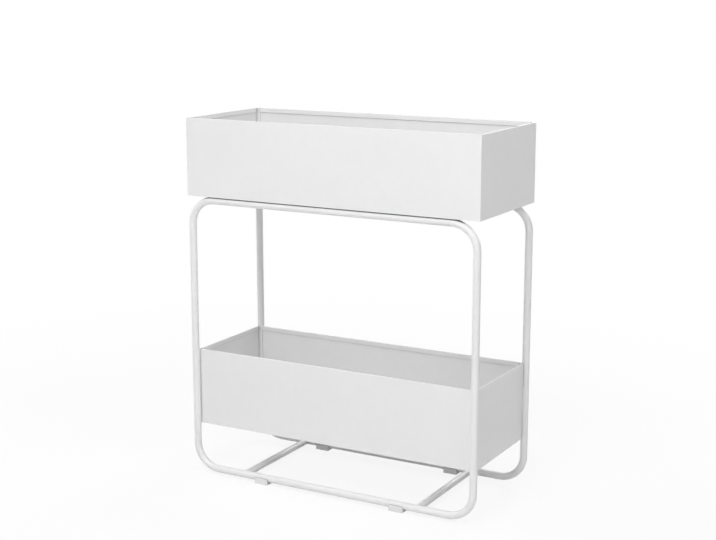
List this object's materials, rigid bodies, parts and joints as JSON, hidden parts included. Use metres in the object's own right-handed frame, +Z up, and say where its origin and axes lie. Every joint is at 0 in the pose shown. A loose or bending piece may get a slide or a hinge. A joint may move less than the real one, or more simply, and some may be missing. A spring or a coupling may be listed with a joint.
{
  "type": "plant stand",
  "caption": "Tiered plant stand: an open sheet-metal planter box on top of closed loops of bent round tube and a narrower one held between them, on saddle feet.",
  "frame": {"origin": "middle of the floor rectangle, level with the undersides of the feet", "axes": "+X along the boxes to the right of someone facing the stand, +Y from front to rear, +Z up"},
  "size_m": [0.7, 0.286, 0.803],
  "materials": {
    "coated_tube": "white satin powder coat on round steel tube",
    "coated_sheet": "white satin powder coat on folded steel sheet",
    "coated_weld": "white powder coat over a weld seam",
    "foot_plastic": "white moulded plastic, fine grain",
    "zinc_steel": "bright zinc plate"
  },
  "bodies": {
    "root": {"front_loop": "coated_tube", "rear_loop": "coated_tube", "bottom_crossbar_left": "coated_tube", "bottom_crossbar_right": "coated_tube", "top_crossbar_left": "coated_tube", "top_crossbar_right": "coated_tube", "upper_box_wrap": "coated_sheet", "upper_box_pan": "coated_sheet", "lower_box_wrap": "coated_sheet", "lower_box_pan": "coated_sheet", "weld_seam_front_left": "coated_weld", "weld_seam_front_right": "coated_weld", "weld_seam_rear_left": "coated_weld", "weld_seam_rear_right": "coated_weld", "foot_front_left": "foot_plastic", "foot_front_right": "foot_plastic", "foot_rear_left": "foot_plastic", "foot_rear_right": "foot_plastic", "upper_box_studs": "zinc_steel", "saddle_washers": "zinc_steel", "stud_nuts": "zinc_steel"}
  },
  "joints": []
}
